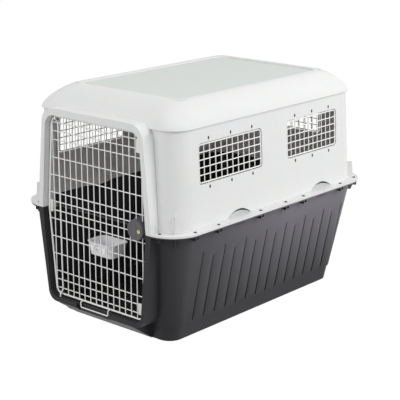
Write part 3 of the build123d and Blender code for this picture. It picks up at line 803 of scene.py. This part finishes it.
@dataclass
class LockKnob:
    """The round knob: a dished face, a fluted rim, a thumb bar and a collar round the key."""

    radius: float = 33.0
    face: float = 504.0
    back: float = 489.3
    shaft_end: float = 460.2
    dish: float = 1.3
    flutes: int = 24
    flute_depth: float = 0.8
    bar: Pair = (4.8, 27.5)
    bar_thick: float = 2.0
    hole: float = 6.15
    hole_foot: float = 494.0
    key_shift: Pair = (16.0, -2.0)

    def disc(self) -> np.ndarray:
        """The disc and its shaft; the rim's radius dips with a squared cosine round the edge.

        Returns:
            Points in metres, shaped rings, points of a ring, 3.
        """
        outer, face, back = self.radius, self.face, self.back
        low = face - self.dish
        profile = [
            (0.5, low), (12, low), (outer - 6.4, low), (outer - 5.6, low + 0.4),
            (outer - 4.8, face), (outer - 3.2, face), (outer - 1.5, face - 0.4),
            (outer - 0.4, face - 1.4), (outer, face - 3), (outer, back + 3),
            (outer - 0.6, back + 1), (outer - 1.6, back), (7.6, back), (7, back - 0.4),
            (7, self.shaft_end + 0.4), (6.6, self.shaft_end), (0.5, self.shaft_end),
        ]
        turn = round_turn(8 * self.flutes)
        rings = turned(profile, len(turn))
        # The dip starts 1.6 mm in from the edge and is whole 0.4 mm in
        dip = self.flute_depth * np.cos(turn * self.flutes / 2) ** 2 / self.radius
        rim = np.clip((np.hypot(rings[..., 0], rings[..., 1]) / MM - (outer - 1.6)) / 1.2, 0, 1)
        rings[..., :2] *= (1 - rim * dip)[..., None]
        return rings

    def thumb_bar(self) -> np.ndarray:
        """The raised bar: an eighth-power oval along its length, a fourth-power one across.

        Returns:
            Points in metres, shaped rings, points of a ring, 3.
        """
        along = np.linspace(-0.995, 0.995, 25)
        turn = round_turn(24)
        swell = (1 - np.abs(along) ** 8)[:, None] ** 0.5
        wide = squared(np.cos(turn), 0.5) * self.bar[0]
        thick = squared(np.sin(turn), 0.5) * self.bar_thick
        tall = self.bar[1] * along[:, None] + 0 * turn
        return np.stack([wide * swell, tall, self.face - self.bar_thick + thick * swell], -1) * MM

    def collar(self) -> np.ndarray:
        """The turned collar that the key cylinder sits in.

        Returns:
            Points in metres, shaped rings, points of a ring, 3.
        """
        face, hole = self.face, self.hole
        profile = [(hole, self.hole_foot), (hole, face - 0.5), (6.6, face - 0.1), (8.2, face - 0.1)]
        profile += [(8.9, face - 0.6), (9.2, face - 1.6), (9.2, face - 4)]
        return turned(profile, 48)

    def build(self, fitter: Fitter) -> None:
        """Make the knob's three pieces on the knob's body.

        Args:
            fitter: dresses each piece and fixes it to its body.
        """
        lock = (LOCK[0], 0.0, LOCK[1])
        key = (LOCK[0] + self.key_shift[0] * MM, 0.0, LOCK[1] + self.key_shift[1] * MM)
        disc = closed_skins("knob_disc", carried(self.disc(), DOOR_WAYS, lock)[None])
        fitter.fit(disc, KNOB_ABS, "knob", "dark_plastic", "lock_knob")
        bar = closed_skins("knob_thumb_bar", carried(self.thumb_bar(), DOOR_WAYS, lock)[None])
        fitter.fit(bar, KNOB_ABS, "knob", "dark_plastic")
        collar = closed_skins("knob_key_collar", carried(self.collar(), DOOR_WAYS, key)[None])
        fitter.fit(collar, KNOB_ABS, "knob", "dark_plastic")


@dataclass
class FeedingCup:
    """The clip-on cup: a thin tapering bowl with a rolled lip, hung by two bent straps."""

    middle: Pair = (-6.0, -435.0)
    lip_half: Pair = (60.0, 42.0)
    ease_start: float = 4.0
    ease: float = 0.25
    strap_half: float = 6.6
    strap_thick: float = 2.4
    strap_x: Pair = (-26.1, 26.1)
    strap_front: float = -483.15
    strap_top: float = 275.4
    strap_bend: float = 2.0

    def bowl(self) -> np.ndarray:
        """The bowl: rounded rectangles carried up the outside, over the lip and down the inside.

        Returns:
            Points in metres, shaped rings, points of a ring, 3.
        """
        # Distance in from the lip, height and corner radius of each ring
        profile = np.array([
            (14.0, 240.0, 12.0), (11.0, 240.1, 14.0), (9.9, 240.9, 15.0), (9.3, 243.5, 15.5),
            (7.2, 262.0, 16.5), (5.0, 279.5, 17.5), (4.2, 281.9, 18.0), (2.2, 282.5, 19.0),
            (0.5, 282.7, 20.0), (0.0, 283.5, 20.5), (0.3, 284.5, 20.3), (1.4, 285.0, 19.6),
            (3.8, 284.9, 18.0), (5.6, 284.2, 17.0), (6.5, 282.6, 16.4), (7.4, 279.0, 16.0),
            (9.4, 262.0, 15.0), (11.4, 245.2, 13.5), (12.6, 243.0, 12.5), (15.5, 242.3, 11.0),
        ])
        halves = np.array(self.lip_half) - profile[:, :1]
        # Below the lip the front and back lean in less than the ends do
        halves[:, 1] += np.clip(profile[:, 0] - self.ease_start, 0, 10) * self.ease
        rings = rounded_rings(halves, profile[:, 2], profile[:, 1], 96)
        return (rings + np.array([*self.middle, 0.0])) * MM

    def straps(self) -> np.ndarray:
        """The straps: one rounded slat section carried back from the wire, round and down.

        Returns:
            Points in metres, shaped straps, rings, points of a ring, 3.
        """
        front, top, bend = self.strap_front, self.strap_top, self.strap_bend
        turn = np.linspace(0.0, math.pi / 2, 9)
        y = np.concatenate([[-468.0, -474.0], front + bend - bend * np.sin(turn), [front, front]])
        z = np.concatenate([[top, top], top - bend + bend * np.cos(turn), [268.0, 262.4]])
        way = np.stack([np.gradient(y), np.gradient(z)], -1)
        way /= np.linalg.norm(way, axis=1, keepdims=True)
        turn = round_turn(20)
        wide = squared(np.cos(turn), 0.3) * self.strap_half
        thick = squared(np.sin(turn), 0.6) * self.strap_thick / 2
        across = np.broadcast_to(wide, (len(y), len(turn)))
        back = y[:, None] - way[:, 1:] * thick
        up = z[:, None] + way[:, :1] * thick
        strap = np.stack([across, back, up], -1)
        places = np.array([[x, 0.0, 0.0] for x in self.strap_x])
        return (strap[None] + places[:, None, None, :]) * MM

    def build(self, fitter: Fitter) -> None:
        """Make the bowl and the straps on the cup's body.

        Args:
            fitter: dresses each piece and fixes it to its body.
        """
        bowl = closed_skins("cup_bowl", self.bowl()[None])
        fitter.fit(bowl, MILKY_POLYPROPYLENE, "cup", "clear_cup", "feeding_cup")
        straps = closed_skins("cup_straps", self.straps())
        fitter.fit(straps, MILKY_POLYPROPYLENE, "cup", "clear_cup")


@dataclass
class FlangeScrews:
    """The flange's screws: domed heads with a cross recess, on plain shanks."""

    half_width: float = 350.0
    half_length: float = 505.0
    corner: float = 100.0
    inset: float = 14.0
    side_y: tuple[float, ...] = (-401.0, -293.0, -87.0, 43.0, 139.0, 350.0)
    corner_turn: float = 31.0
    front_x: float = 268.0
    front_step: float = 6.0
    rear_x: float = 150.0
    seat: float = 374.5
    recess_half: float = 0.72
    recess_reach: float = 2.9
    recess_depth: float = 1.3

    def places(self) -> np.ndarray:
        """The screws' x, y and turn, from the flange's edge and mirrored to the left.

        Returns:
            One row for each screw.
        """
        turn = math.radians(self.corner_turn)
        reach = self.corner - self.inset
        right = [(self.half_width - self.inset, y, 0.0) for y in self.side_y]
        right.append((
            self.half_width - self.corner + reach * math.cos(turn),
            self.half_length - self.corner + reach * math.sin(turn), turn,
        ))
        right.append((self.front_x, -self.half_length + self.inset + self.front_step, -math.pi / 2))
        right.append((self.rear_x, self.half_length - self.inset, math.pi / 2))
        right = np.array(right)
        return np.concatenate([right, right * (-1, 1, -1) + (0, 0, math.pi)])

    def rings(self) -> np.ndarray:
        """All screws: the dome sinks by the recess's depth inside two crossed bars.

        Returns:
            Points in metres, shaped screws, rings, points of a ring, 3.
        """
        seat = self.seat
        profile = [(0.2, seat + 3.0), (0.6, seat + 3.0), (1.0, seat + 3.0), (1.6, seat + 2.97)]
        profile += [(2.2, seat + 2.93), (2.7, seat + 2.88), (3.1, seat + 2.82), (3.6, seat + 2.7)]
        profile += [(4.3, seat + 2.3), (4.9, seat + 1.6), (5.2, seat + 0.8), (5.25, seat)]
        profile += [(3.0, seat), (3.0, seat - 17), (2.4, seat - 18.5), (0.2, seat - 18.6)]
        screw = turned(profile, 48)
        across, up = np.abs(screw[..., 0]), np.abs(screw[..., 1])
        radius = np.hypot(across, up)
        slim = np.minimum(across, up) < self.recess_half * MM
        cross = slim & (radius < self.recess_reach * MM) & (screw[..., 2] > seat * MM)
        screw[..., 2] -= np.where(cross, self.recess_depth * MM * (1 - radius / (6 * MM)), 0.0)
        x, y, turn = self.places().T
        cos, sin = np.cos(turn), np.sin(turn)
        spin = np.stack([np.stack([cos, sin, 0 * x], -1), np.stack([-sin, cos, 0 * x], -1)], 1)
        spin = np.concatenate([spin, np.broadcast_to([[0.0, 0.0, 1.0]], (len(x), 1, 3))], 1)
        shift = np.stack([x, y, 0 * x], -1) * MM
        return np.einsum("rkc,ncd->nrkd", screw, spin) + shift[:, None, None, :]

    def build(self, fitter: Fitter) -> None:
        """Make all the screws as one piece on the carrier."""
        screws = closed_skins("flange_screws", self.rings())
        fitter.fit(screws, PLATED_STEEL, "carrier", "fastener_steel", "flange_bolts")


@dataclass
class WindowPlugs:
    """Dark oval buttons that close the clip holes above and below each window."""

    windows: tuple[tuple[str, Side, float, float], ...] = (
        ("right_front", Side.RIGHT, -205.0, 152.0), ("right_rear", Side.RIGHT, 213.0, 137.0),
        ("left_front", Side.LEFT, -205.0, 152.0), ("left_rear", Side.LEFT, 213.0, 137.0),
        ("back", Side.BACK, 0.0, 164.0),
    )
    foot_half: Pair = (320.0, 470.0)
    half: Pair = (3.3, 5.3)
    row: float = 75.0
    spread: float = 0.68

    def button(self) -> np.ndarray:
        """One button: a turned dome drawn out into an oval, with a dimple at its middle.

        Returns:
            Points in metres, shaped rings, points of a ring, 3.
        """
        profile = [(0.05, 0.35), (0.25, 0.4), (0.45, 0.75), (0.7, 0.85), (0.9, 0.65), (1.0, 0.25)]
        profile += [(1.0, -2.6), (0.05, -2.8)]
        rings = turned(profile, 24)
        rings[..., 0] *= self.half[0]
        rings[..., 1] *= self.half[1]
        return rings

    def rings(self, side: Side, middle: float, half_length: float) -> np.ndarray:
        """One window's six buttons, on its sloping wall.

        Args:
            side: the wall.
            middle: the window's middle along the carrier.
            half_length: half the window's length.

        Returns:
            Points shaped six, rings, points of a ring, 3.
        """
        along, out = (np.array(way, dtype=float) for way in side.value)
        out /= np.linalg.norm(out)
        up = np.array([0.0, 0.0, 1.0]) - out * out[2]
        up /= np.linalg.norm(up)
        sink = WALL_SLOPE * (WINDOW_Z - PARTING_Z)
        wall = (self.foot_half[1] if side is Side.BACK else self.foot_half[0]) * MM - sink
        origin = np.array([out[0], out[1], 0.0]) / math.hypot(out[0], out[1]) * wall
        origin += np.array([0.0, middle * MM if side is not Side.BACK else 0.0, WINDOW_Z])
        steps = np.array([-1.0, 0.0, 1.0]) * half_length * self.spread * MM
        rows = (self.row * MM, -self.row * MM)
        spots = [origin + step * along + row * up for row in rows for step in steps]
        button = carried(self.button(), np.array([along, up, out]))
        return button[None] + np.array(spots)[:, None, None, :]

    def build(self, fitter: Fitter) -> None:
        """Make one piece of six buttons for each window.

        Args:
            fitter: dresses each piece and fixes it to its body.
        """
        for name, side, middle, half_length in self.windows:
            plugs = closed_skins(f"window_plugs_{name}", self.rings(side, middle, half_length))
            fitter.fit(plugs, DARK_NYLON_AND_PAINTED_SHADOW, "carrier", "dark_plastic")


@dataclass
class TubSwells:
    """The soft swells of the tub's side walls between its upright grooves."""

    first: float = -336.0
    pitch: float = 52.3
    count: int = 14
    half: float = 21.5
    swell: float = 1.7
    sunk: float = 0.35
    root: float = 0.9
    low: float = 60.0
    tops: Pair = (293.0, 281.0)

    def rings(self) -> np.ndarray:
        """Swells of the right wall: one less the cube of the way across, eased off at the ends.

        Returns:
            Points in metres, shaped swells, rings, points of a ring, 3.
        """
        way = np.linspace(-1.0, 1.0, 21)
        rise = np.linspace(0.0, 1.0, 31)
        ends = 1 - np.abs(2 * rise - 1) ** 8
        (low_z, low_x), (high_z, high_x) = WALL_LINE
        skins = []
        for index in range(self.count):
            z = self.low + (self.tops[index % 2] - self.low) * rise
            x = low_x + (high_x - low_x) * (z - low_z) / (high_z - low_z)
            proud = (self.swell + self.sunk) * np.outer(ends, 1 - np.abs(way) ** 3) - self.sunk
            y = self.first + self.pitch * (index + 0.5) + self.half * way
            x, y, z = np.broadcast_arrays(x[:, None], y, z[:, None])
            front = np.stack([x + proud, y, z], -1)
            back = np.stack([x - self.root, y, z], -1)
            skins.append(np.concatenate([front, back[:, ::-1]], 1))
        return np.array(skins) * MM

    def build(self, fitter: Fitter) -> None:
        """Make both walls' swells as one piece on the carrier."""
        swells = closed_skins("tub_wall_swells", mirrored(self.rings()))
        fitter.fit(swells, DARK_POLYPROPYLENE, "carrier", "dark_shell")


@dataclass
class RoofRim:
    """The slim rounded bead along the outer edge of the roof's raised border."""

    half_x: float = 234.0
    span_y: Pair = (-359.0, 381.0)
    corner: float = 30.0
    top: float = 756.0
    half: float = 2.4
    sunk: float = 0.12

    def rings(self) -> np.ndarray:
        """Rounded rectangles whose size and height follow a circle: a round section led round.

        Returns:
            Points in metres, shaped rings, points of a ring, 3.
        """
        middle = (self.span_y[0] + self.span_y[1]) / 2
        half = np.array([self.half_x, (self.span_y[1] - self.span_y[0]) / 2])
        turn = np.linspace(0.0, 2 * math.pi, 16)
        outward = self.half * np.cos(turn)
        halves = half[None] + outward[:, None] - self.half
        radii = self.corner + outward
        heights = self.top - self.sunk - self.half + self.half * np.sin(turn)
        return (rounded_rings(halves, radii, heights, 160) + np.array([0.0, middle, 0.0])) * MM

    def build(self, fitter: Fitter) -> None:
        """Make the bead on the carrier, its section closed round without end caps."""
        rim = closed_skins("roof_rim_bead", self.rings()[None], capped=False)
        # The bead's greyer colour is painted shade
        fitter.fit(rim, BEAD_PAINTED_SHADE, "carrier", "light_shell")


@dataclass
class GripShadowCrescents:
    """Painted shadows: dark crescents under the brow of each hand grip in the top shell."""

    grips: Pair = (-174.0, 258.0)
    face: float = 320.0
    radius: float = 105.0
    depth: float = 19.0
    tall: float = 24.0
    foot: float = 374.5
    reach: float = 32.0
    width: float = 8.5
    lean_height: float = 20.0
    below: float = 0.6
    proud: float = 0.45
    root: float = 0.9

    def rings(self) -> np.ndarray:
        """The right wall's crescents, on the scoop's cone just under where it meets the wall.

        The edge's height is where the cone's radius, times the cosine of the turn, is the
        wall's distance from the cone's axis. The width falls off with the square of the turn.

        Returns:
            Points in metres, shaped grips, rings, points of a ring, 3.
        """
        turn = np.radians(np.linspace(-self.reach, self.reach, 41))[:, None]
        axis = self.face - self.depth + self.radius
        gap = axis - (self.face - WALL_SLOPE * self.lean_height)
        edge = self.foot + self.tall * (self.radius - gap / np.cos(turn)) / self.depth
        width = self.width * (1 - (turn / math.radians(self.reach + 1)) ** 2)
        rise = np.linspace(0, 1, 7)
        down = np.concatenate([rise, rise[::-1]])
        lift = np.repeat([self.proud, -self.root], len(rise))
        z = edge - self.below - width * down
        r = self.radius - self.depth * (z - self.foot) / self.tall - lift
        skins = [
            np.stack([axis - r * np.cos(turn), y + r * np.sin(turn), z], -1) for y in self.grips
        ]
        return np.array(skins) * MM

    def build(self, fitter: Fitter) -> None:
        """Make the four painted-shadow crescents as one piece on the carrier."""
        shadow_crescents = closed_skins("hand_grip_painted_shadows", mirrored(self.rings()))
        # The dark nylon here paints the shadow under each grip's brow
        fitter.fit(shadow_crescents, DARK_NYLON_AND_PAINTED_SHADOW, "carrier", "dark_plastic")


@dataclass
class DoorWelds:
    """The small fused beads where the door's cross wires meet its uprights."""

    uprights: int = 16
    half: Point = (2.5, 2.3, 1.9)
    corner_x: float = 190.0
    corner_z: Pair = (105.0, 640.0)
    pole: float = 0.12

    def spots(self) -> np.ndarray:
        """The middles of the beads, where a cross wire meets an upright inside the frame.

        Returns:
            One row in metres for each bead.
        """
        x = (np.arange(self.uprights) - (self.uprights - 1) / 2) * UPRIGHT_PITCH
        steps = np.array(CROSS_STEPS) * MM
        z = np.sort(np.concatenate([LOCK[1] - steps, LOCK[1] + steps]))
        across, up = (grid.ravel() for grid in np.meshgrid(x, z))
        low, high = self.corner_z[0] * MM, self.corner_z[1] * MM
        corner = (np.abs(across) > self.corner_x * MM) & ((up < low) | (up > high))
        spots = np.stack([across, np.full_like(across, (DOOR_Y + CROSS_Y) / 2), up], -1)
        return spots[~corner]

    def build(self, fitter: Fitter) -> None:
        """Make the beads: each is a turned ball squeezed to half sizes across, up and out.

        Args:
            fitter: dresses each piece and fixes it to its body.
        """
        lean = np.linspace(self.pole, math.pi - self.pole, 6)
        bead = turned(list(zip(np.sin(lean), np.cos(lean))), 10) * np.array(self.half)
        bead = carried(bead, DOOR_WAYS)
        beads = closed_skins("door_weld_beads", bead[None] + self.spots()[:, None, None, :])
        fitter.fit(beads, COATED_WIRE, "door", "coated_wire")


@dataclass
class Dressing:
    """The finishes that the carried-over solids get."""

    nodes: dict[str, bpy.types.Object]
    plan: dict[str, Finish] = field(default_factory=lambda: {
        "bottom_shell": DARK_POLYPROPYLENE,
        "top_shell": PALE_POLYPROPYLENE,
        "flange_": PLATED_STEEL,
        "grille_": COATED_WIRE,
        "door_": COATED_WIRE,
        "lock_cylinder": TURNED_BRASS,
        "_lock_rod": BLACKENED_STEEL,
        "lock_": KNOB_ABS,
        "_rod_guide": CLIP_NYLON,
        "feeding_cup": MILKY_POLYPROPYLENE,
    })

    def build(self, fitter: Fitter) -> None:
        """Give each node the first finish whose key is in its name.

        Args:
            fitter: makes each finish's material once.
        """
        for name, piece in self.nodes.items():
            key = next(key for key in self.plan if key in name)
            piece.data.materials.clear()
            piece.data.materials.append(fitter.finish(self.plan[key]))
            LOG.info("%s: %s", name, self.plan[key].name)


def main() -> None:
    """Build the scene in order."""
    logging.basicConfig(level=logging.INFO, format="%(message)s")
    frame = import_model()
    bpy.context.scene.view_settings.view_transform = "Standard"
    Photographer().build()
    Studio().build()
    fitter = Fitter()
    assemblies = (
        Dressing(frame["nodes"]), LockKnob(), FeedingCup(), FlangeScrews(), WindowPlugs(),
        TubSwells(), RoofRim(), GripShadowCrescents(), DoorWelds(),
    )
    for assembly in assemblies:
        assembly.build(fitter)


if __name__ == "__main__":
    main()
